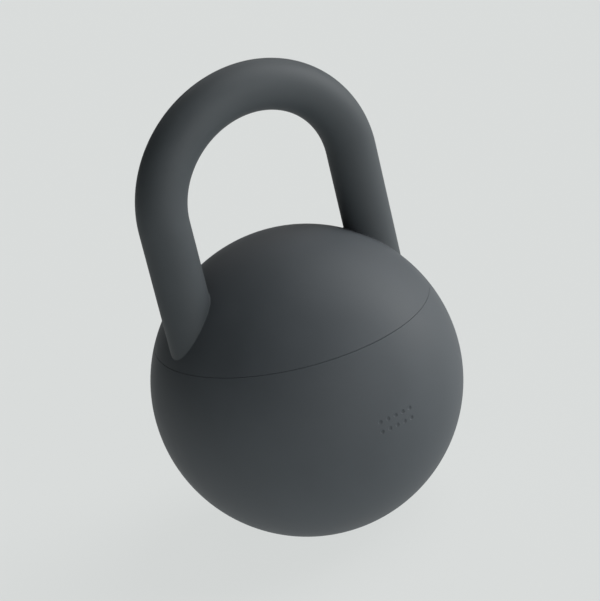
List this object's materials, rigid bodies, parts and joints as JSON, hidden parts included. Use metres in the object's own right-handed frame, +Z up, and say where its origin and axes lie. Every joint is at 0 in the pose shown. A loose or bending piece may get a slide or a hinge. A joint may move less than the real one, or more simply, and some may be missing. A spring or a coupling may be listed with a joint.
{
  "type": "kettlebell",
  "caption": "Charcoal kettlebell: ball of upper dome and lower bowl closed on a hairline seam, under a U-shaped soft grip, with bolted iron weights inside.",
  "frame": {"origin": "centre of the base pad's underside, where the kettlebell stands", "axes": "+Z up through the ball's centre and the crown of the grip; the grip lies in the X-Z plane, its legs at plus and minus X"},
  "size_m": [0.165, 0.165, 0.2523],
  "materials": {
    "soft_shell": "soft-touch matt charcoal",
    "soft_grip": "soft-touch matt charcoal elastomer",
    "seal_rubber": "matt black moulded rubber",
    "zinced_steel": "clear zinc plate",
    "cast_iron": "as-cast, black lacquered"
  },
  "bodies": {
    "root": {"handle_bar": "zinced_steel", "grip_sleeve": "soft_grip", "upper_dome": "soft_shell", "lower_bowl": "soft_shell", "seam_seal": "seal_rubber", "base_pad": "seal_rubber", "yoke_plate": "zinced_steel", "leg_gasket_left": "seal_rubber", "leg_gasket_right": "seal_rubber", "leg_washer_left": "zinced_steel", "leg_washer_right": "zinced_steel", "leg_nut_left": "zinced_steel", "leg_nut_right": "zinced_steel", "core_weight": "cast_iron", "weight_plate_1": "cast_iron", "weight_plate_2": "cast_iron", "weight_plate_3": "cast_iron", "stack_cushion": "seal_rubber", "tie_bolt": "zinced_steel", "tie_bolt_washer": "zinced_steel"}
  },
  "joints": []
}
